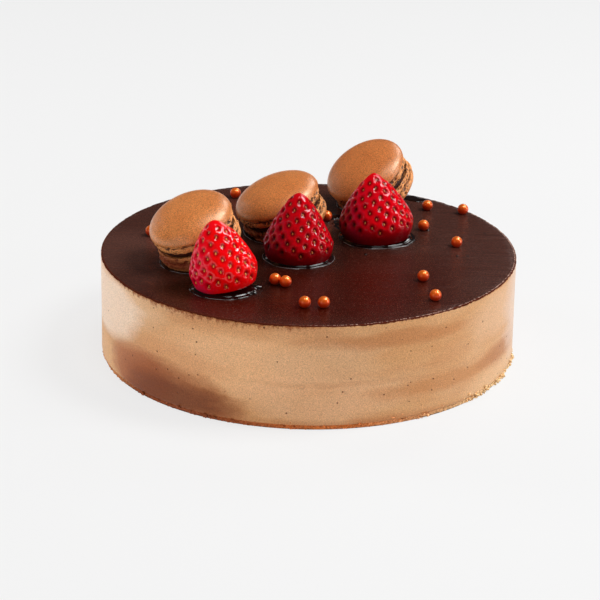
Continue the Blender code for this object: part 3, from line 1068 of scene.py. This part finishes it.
# %% [markdown]
# Macarons
#
# A macaron shell is a smooth dome on a crackled foot. The dome rose as one skin, and the foot is the
# batter that boiled out under it, so the two need different detail in one mesh: gentle lumps above,
# ruffles and burst bubbles below. A bubble is a cell between scattered points, and the valleys
# between cells get painted shade. The places come from the solids: the line between the two shells'
# middles is the axis. A lower edge that stands in the gel is darker with painted shade, and some
# macarons get painted shade all over.

# %% The macaron finishes
SHELL_TAN = srgb(198, 117, 60)
SHELL_GOLD = srgb(212, 132, 72)
FOOT_GOLD = srgb(238, 158, 90)
# painted shade in the foot's crevices and in the pores
FOOT_SHADE = srgb(70, 24, 8)
# painted shade on a lower edge that stands in the gel
SHELL_LOW_SHADE = srgb(116, 34, 14)
# painted shade: the brown that darkens a macaron all over
MACARON_SHADE_BROWN = srgb(178, 94, 47)
# how much painted shade darkens each macaron all over
MACARON_SHADE = (0.0, 0.15, 0.4)


def shell_finish():
    finish = Finish("macaron shell", Specular_IOR_Level=1.0, Specular_Tint=srgb(255, 240, 204),
                    Coat_Weight=0.35, Coat_Roughness=0.36)
    spot = finish.place()
    cloud = finish.noise(spot, 11.0, 3.0)
    colour = finish.mix(cloud.above(0.52, 0.4), SHELL_TAN, SHELL_GOLD)
    # painted shade: some macarons are darker all over
    colour = finish.mix(finish.stored("baked"), colour, MACARON_SHADE_BROWN)
    specks = finish.noise(spot, 0.42, 1.0, 0.6)
    colour = finish.mix(finish.stored("foot") * 0.8, colour, FOOT_GOLD)
    colour = finish.lit(colour, specks * 2.2 - 0.05)
    # painted shade in the pores and the crevices
    pores = 1 - finish.cells(spot, 1.7).above(0.2, 0.1)
    colour = finish.mix(pores * 0.35, colour, FOOT_SHADE)
    colour = finish.mix(finish.stored("crevice").above(0.45, 0.7) * 0.95, colour, FOOT_SHADE)
    height = finish.parts(spot)[2]
    # painted shade: the foot of a lower edge is darker where it stands in the gel
    shaded_low = (51.5 - height + (cloud - 0.5) * 4).above(0.0, 5.0) * finish.stored("foot")
    colour = finish.mix(shaded_low * 0.85, colour, SHELL_LOW_SHADE)
    finish.feed("Base Color", colour)
    finish.feed("Roughness", 0.34 + finish.stored("foot") * 0.5)
    fine = finish.bump(specks, 0.1)
    finish.feed("Normal", finish.bump(finish.noise(spot, 2.2, 2.0), 0.1, fine))
    return finish


def filling_finish():
    finish = Finish("chocolate filling", Roughness=0.5, Specular_IOR_Level=0.3)
    spot = finish.place()
    finish.feed("Base Color", finish.mix(finish.noise(spot, 2.0, 3.0), srgb(40, 18, 12), srgb(74, 36, 22)))
    finish.feed("Normal", finish.bump(finish.noise(spot, 1.2, 3.0), 0.2))
    return finish


shell_look = shell_finish()
filling_look = filling_finish()
print("macaron finishes are ready")

# %% The macaron's profile
FILLING_HALF = 1.65 * MM
FOOT_HEIGHT = 2.4 * MM
LIP_HEIGHT = 0.9 * MM
# heights above the macaron's middle: where the foot starts, and the lip of the dome
FOOT_START = FILLING_HALF + 0.3 * MM
SHELL_LIP = FOOT_START + FOOT_HEIGHT + LIP_HEIGHT
SHELL_COLUMNS = 360
FOOT_ROWS = 18
FOOT_OVERHANG = 0.45 * MM
DOME_ROWS = 26
DOME_ROUNDNESS = 0.8


def shell_rows(radius, dome):
    """Rows of radius, height and how much each belongs to the foot, from the filling to the crown."""
    hem = FILLING_HALF - FOOT_OVERHANG
    hood = FOOT_START + FOOT_HEIGHT + 0.15 * MM
    rows = [(0.7 * radius, FOOT_START, 1.0), (0.9 * radius, FOOT_START, 1.0)]
    rows.append((0.925 * radius, FOOT_START - 0.2 * MM, 1.0))
    for share in np.linspace(0, 1, FOOT_ROWS):
        bulge = 0.93 + 0.04 * sin(pi * (0.1 + 0.8 * share))
        rows.append((bulge * radius, hem + (hood - hem) * share, 1.0))
    rows.append((0.955 * radius, SHELL_LIP - 0.72 * MM, 0.8))
    rows.append((0.978 * radius, SHELL_LIP - 0.66 * MM, 0.2))
    rows.append((0.993 * radius, SHELL_LIP - 0.4 * MM, 0.0))
    for k in range(DOME_ROWS):
        rise = (k / DOME_ROWS) ** 1.1 * pi / 2
        rows.append((radius * cos(rise) ** DOME_ROUNDNESS, SHELL_LIP + dome * sin(rise), 0.0))
    rows.append((0.03 * radius, SHELL_LIP + dome, 0.0))
    return np.array(rows)


# %% A shell
RUFFLE = 0.5 * MM
CREVICE = 0.72 * MM
GRAIN = 0.2 * MM
SEAM = 0.5 * MM
SEAM_DROP = 1.05 * MM
# how far the foot's crackle climbs a shell that stands on its dome
ROUGH_EDGE = 3.5 * MM


def crackle(points, size, seed):
    """Lumps from 0 to 1 with sharp valleys between them, from the distance to scattered points."""
    flat = np.asarray(points).reshape(-1, 3) / size + seed
    nearest = [noise.voronoi(Vector(p))[0] for p in flat.tolist()]
    gaps = np.array([distance[1] - distance[0] for distance in nearest])
    return np.clip(gaps / 0.5, 0, 1).reshape(np.asarray(points).shape[:-1])


def shell_mesh(name, radius, dome, seed, rough_edge, baked):
    rows = shell_rows(radius, dome)
    rings = turn(rows[:, :2], SHELL_COLUMNS)
    foot = np.repeat(rows[:, 2:], SHELL_COLUMNS, axis=1)
    spread = rough_edge * (1 + 0.6 * ripples(rings * (1, 1, 0), 5 * MM, seed + 4.0)) + 0.01 * MM
    heights = rings[:, :, 2].copy()
    foot = np.maximum(foot, 1 - dome_step(heights, SHELL_LIP, SHELL_LIP + spread))
    bubbles = crackle(rings * (1, 1, 1.8), 2.4 * MM, seed)
    grains = crackle(rings * (1, 1, 1.5), 1.1 * MM, seed + 3.0)
    ruffles = ripples(rings * (1, 1, 0.3), 3.2 * MM, seed, 2)
    open_here = np.clip(0.75 + 1.2 * ripples(rings, 4 * MM, seed + 1.0), 0, 1)
    pits = dome_step(bubbles, 0.15, 0.85) * open_here
    seam = hump(heights, SHELL_LIP - SEAM_DROP, 0.35 * MM) * (0.5 + 0.5 * open_here)
    push = foot * (RUFFLE * ruffles - CREVICE * pits - GRAIN * (1 - grains) - SEAM * seam)
    lip = hump(heights, FILLING_HALF + FOOT_HEIGHT + LIP_HEIGHT, 0.8 * MM) * (1 - foot)
    push += lip * 0.12 * MM * ripples(rings, 3.5 * MM, seed + 7.0, 2)
    push += (1 - foot) * 0.1 * MM * ripples(rings, 11 * MM, seed + 9.0)
    rings[3:-1, :, :2] *= 1 + push[3:-1, :, None] / radius
    crevice = foot * np.clip(pits * 1.1 + seam + (1 - grains) * 0.3 - 0.1, 0, 1)
    return ring_mesh(name, rings, foot=foot, crevice=crevice, baked=baked)


# %% Making the macarons
def macaron_placement(number):
    top = node_points(f"macaron_{number}_top_shell")
    bottom = node_points(f"macaron_{number}_bottom_shell")
    axis = Vector(top.mean(0) - bottom.mean(0)).normalized()
    middle = Vector((top.mean(0) + bottom.mean(0)) / 2)
    away = (top - np.array(middle)) @ np.array(axis)
    across = np.linalg.norm(top - np.array(middle) - away[:, None] * np.array(axis), axis=1)
    radius = across[away > FILLING_HALF + 3 * MM].max()
    dome = away.max() - SHELL_LIP
    turned = axis.to_track_quat("Z", "Y").to_matrix().to_4x4()
    return Matrix.Translation(middle) @ turned, float(radius), float(dome)


def filling_mesh(name, radius, seed):
    rows = [(0.6, -1.0), (0.82, -1.0)]
    for level in np.linspace(-1, 1, 9):
        rows.append((0.9 - 0.045 * abs(level) ** 3, level))
    rows += [(0.82, 1.0), (0.6, 1.0)]
    profile = [(reach * radius, level * FILLING_HALF) for reach, level in rows]
    rings = turn(profile, SHELL_COLUMNS // 2)
    push = 0.35 * MM * ripples(rings, 6 * MM, seed, 2) / radius
    rings[1:-1, :, :2] *= 1 + push[1:-1, :, None]
    return ring_mesh(name, rings)


def make_macaron(number):
    placement, radius, dome = macaron_placement(number)
    upside_down = placement @ Matrix.Rotation(pi, 4, "X")
    baked = MACARON_SHADE[number - 1]
    name = f"macaron_{number}"
    top = shell_mesh(f"{name}_top", radius, dome, 17.0 * number, 0.0, baked)
    bottom = shell_mesh(f"{name}_bottom", radius, dome, 31.0 * number, ROUGH_EDGE, baked)
    middle = filling_mesh(f"{name}_middle", radius, 5.0 * number)
    top.transform(placement)
    bottom.transform(upside_down)
    middle.transform(placement)
    add_piece(top, shell_look, "macaron_shell", f"{name}_top_shell")
    add_piece(bottom, shell_look, "macaron_shell", f"{name}_bottom_shell")
    add_piece(middle, filling_look, "macaron_filling", f"{name}_filling")
    print(f"macaron {number}: radius {radius / MM:.2f} mm, dome {dome / MM:.2f} mm")


for number in (1, 2, 3):
    make_macaron(number)

# %% [markdown]
# Sugar pearls
#
# The pearls are 5 mm balls with a copper lustre. Thirteen of them are part of the glaze's solid, so
# their places can be found in it: nothing else on the glaze is as high as a pearl's top. Their colour
# follows the height: a painted highlight makes them golden on top, and painted shade makes them red
# underneath.

# %% The pearls
PEARL_RADIUS = 2.5 * MM
PEARL_SINK = 0.35 * MM
PEARL_TOP = CAKE_TOP + 2 * PEARL_RADIUS - PEARL_SINK
COPPER = srgb(236, 56, 8)
COPPER_BRIGHT = srgb(248, 84, 18)
# painted shade: the red underneath
PEARL_SHADE = srgb(160, 10, 4)
# painted highlight: the gold on top
PEARL_HIGHLIGHT = srgb(255, 142, 44)


def pearl_finish():
    finish = Finish("copper sugar pearl", Metallic=0.35, Roughness=0.28, Specular_IOR_Level=1.0,
                    Specular_Tint=srgb(255, 214, 136), Coat_Weight=0.7, Coat_Roughness=0.14)
    spot = finish.place()
    height = finish.parts(spot)[2]
    lustre = finish.noise(spot, 1.6, 2.0)
    colour = finish.mix(lustre.above(0.5, 0.5), COPPER, COPPER_BRIGHT)
    # painted shade: redder underneath; painted highlight: golden on top
    colour = finish.mix((47.0 - height).above(0.0, 3.0) * 0.6, colour, PEARL_SHADE)
    finish.feed("Base Color", finish.mix(height.above(48.4, 2.0) * 0.6, colour, PEARL_HIGHLIGHT))
    finish.feed("Normal", finish.bump(finish.noise(spot, 0.6, 2.0), 0.03))
    return finish


def make_pearls():
    corners = node_points("glaze")
    tops = corners[np.abs(corners[:, 2] - PEARL_TOP) < 0.05 * MM]
    families = []
    for place, top in enumerate(tops):
        rings = ball(23, 40) * PEARL_RADIUS
        rings *= 1 + 0.012 * ripples(rings, 3 * MM, 2.0 * place)[:, :, None]
        rings += (top[0], top[1], CAKE_TOP + PEARL_RADIUS - PEARL_SINK)
        families.append(rings)
    print(len(families), "pearls")
    add_piece(joined_mesh("pearls", families), pearl_finish(), "pearl", "glaze")


make_pearls()

# %% [markdown]
# The biscuit
#
# A thin layer of crushed biscuit carries the cake. Its edge is rough at every scale: crumbs of a
# millimetre that are pressed together, and loose ones that stick out. The pressed edge is one mesh
# pushed in and out, and the loose crumbs are small uneven lumps that are scattered along it, two
# thirds of them crowded at the right.

# %% The biscuit
BISCUIT_COLUMNS = 1300
BISCUIT_ROWS = 12
CRUMB_RELIEF = 0.8 * MM
CRUMB_ROOM = 0.45 * MM
BISCUIT_BROWN = srgb(212, 116, 52)
BISCUIT_GOLD = srgb(242, 202, 148)
# painted shade on the front left
BISCUIT_SHADE = srgb(136, 66, 34)
BISCUIT_TAN = srgb(210, 138, 84)


def biscuit_finish():
    finish = Finish("pressed biscuit crumbs", Roughness=0.8)
    spot = finish.place()
    heading = finish.heading(*finish.parts(spot)[:2])
    crumbs = finish.noise(spot, 0.9, 2.0, 0.6)
    golden = (heading + (crumbs - 0.5) * 20).above(34.0, 44.0)
    # painted shade: darker towards the front left
    dark = 1 - (heading + 8).above(0.0, 36.0)
    colour = finish.mix(golden, BISCUIT_BROWN, BISCUIT_GOLD)
    colour = finish.mix(dark * 0.9, colour, BISCUIT_SHADE)
    colour = finish.mix((0 - heading).above(58.0, 14.0), colour, BISCUIT_TAN)
    colour = finish.lit(colour, 0.1 + crumbs * 1.8)
    finish.feed("Base Color", colour)
    finish.feed("Normal", finish.bump(crumbs, 0.5))
    return finish


biscuit_look = biscuit_finish()


def make_biscuit():
    angles = ring_angles(BISCUIT_COLUMNS)
    top = BISCUIT_TOP + 0.6 * MM * round_noise(angles, 3.0, 4.0)
    top += 0.5 * MM * round_noise(angles, 45.0, 9.0)
    side = FOOT_RADIUS - CRUMB_ROOM
    rows = [(0.9 * side, 0.0), (side - 0.5 * MM, 0.0)]
    for turned in np.linspace(-pi / 2, pi / 2, BISCUIT_ROWS):
        rows.append((side - 0.4 * MM * (1 - cos(turned)), (1 + sin(turned)) / 2))
    rows.append((0.93 * side, 1.0))
    rings = turn(rows, BISCUIT_COLUMNS)
    rings[:, :, 2] *= top[None, :]
    lumps = crackle(rings[2:-1], 1.5 * MM, 2.0)
    push = CRUMB_RELIEF * (lumps - 0.8) + 0.35 * MM * ripples(rings[2:-1], 1.0 * MM, 6.0, 2)
    rings[2:-1, :, :2] *= 1 + push[:, :, None] / side
    rings[:, :, 2] = np.maximum(rings[:, :, 2], 0)
    add_piece(ring_mesh("biscuit", rings), biscuit_look, "biscuit", "base_biscuit")


make_biscuit()

# %% Loose crumbs
CRUMB_COUNT = 500
CROWDED_HEADING = 66
CROWDED_SPREAD = 15
rng = np.random.default_rng(7)


def crumb_rings(middle, size, seed):
    rings = ball(5, 9)
    rings *= 1 + 0.6 * ripples(rings, 0.7, seed)[:, :, None]
    stretch = rng.uniform(0.7, 1.2, 3)
    return rings * stretch * size + middle


def make_crumbs():
    families = []
    for place in range(CRUMB_COUNT):
        crowded = place % 3 > 0
        heading = rng.normal(CROWDED_HEADING, CROWDED_SPREAD) if crowded else rng.uniform(-50, 200)
        heading = radians(heading)
        crowd = round_noise([heading], 9.0, 1.0)[0]
        if rng.uniform(-0.5, 0.5) > crowd + 0.1:
            continue
        size = rng.uniform(0.5, 0.95) ** 3 * MM
        level = max(size * 1.4, abs(rng.normal(1.2, 1.1)) * MM)
        spare = FOOT_RADIUS / max(abs(sin(heading)), abs(cos(heading))) - FOOT_RADIUS
        out = FOOT_RADIUS - 1.0 * MM + min(spare, rng.uniform(0.0, 1.2) * MM)
        middle = np.array((out * sin(heading), -out * cos(heading), level))
        rings = crumb_rings(middle, size, float(place))
        rings[:, :, 2] = np.maximum(rings[:, :, 2], 0)
        families.append(rings)
    add_piece(joined_mesh("loose_crumbs", families), biscuit_look, "biscuit")


make_crumbs()
